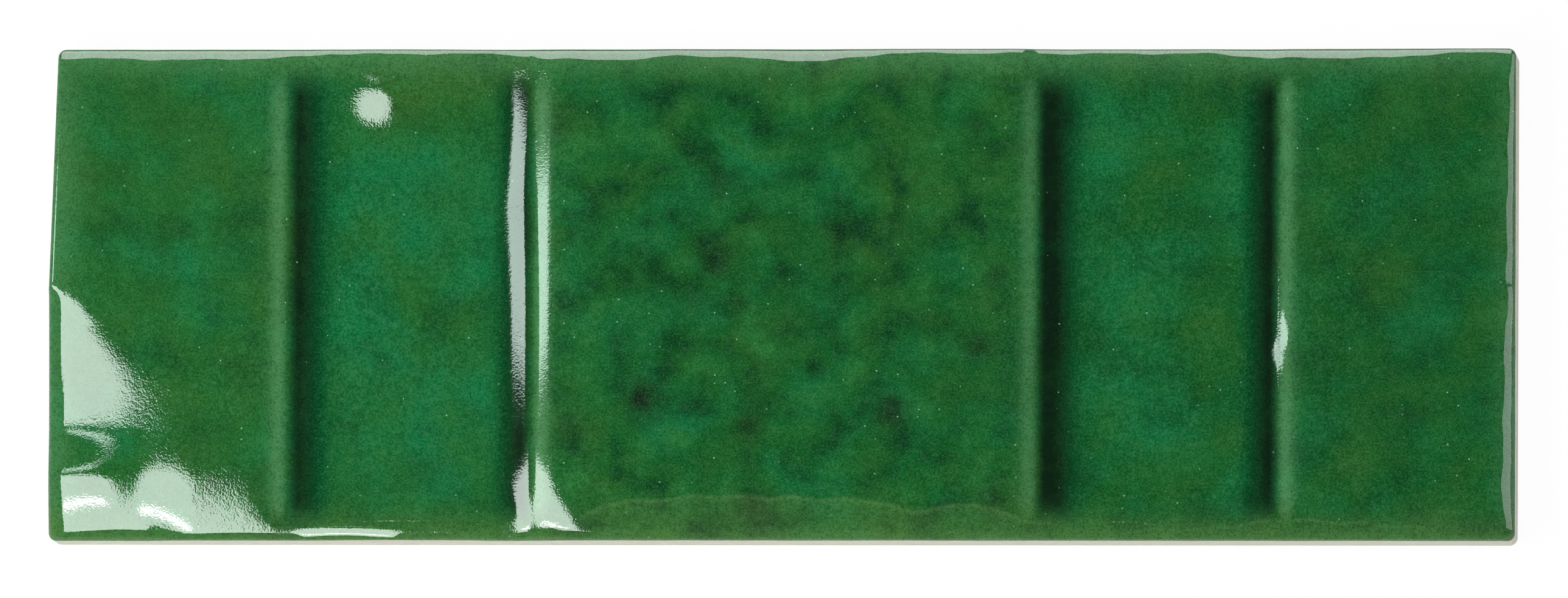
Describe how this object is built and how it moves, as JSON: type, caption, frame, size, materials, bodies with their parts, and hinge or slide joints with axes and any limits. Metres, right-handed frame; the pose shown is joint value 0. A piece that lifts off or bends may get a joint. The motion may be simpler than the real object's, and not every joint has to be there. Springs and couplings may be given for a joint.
{
  "type": "decorative wall tile",
  "caption": "Oblong glossy green glazed ceramic wall tile with sunken panels pressed across its face, for walls and splashbacks.",
  "frame": {"origin": "middle of the flat back face, which rests on the floor or beds on the wall", "axes": "+X along the length, towards the end with the squarer edge; +Y across the width; +Z out of the glazed face"},
  "size_m": [0.15, 0.0502, 0.0085],
  "materials": {
    "green_glaze": "high gloss"
  },
  "bodies": {
    "root": {"tile": "green_glaze"}
  },
  "joints": []
}
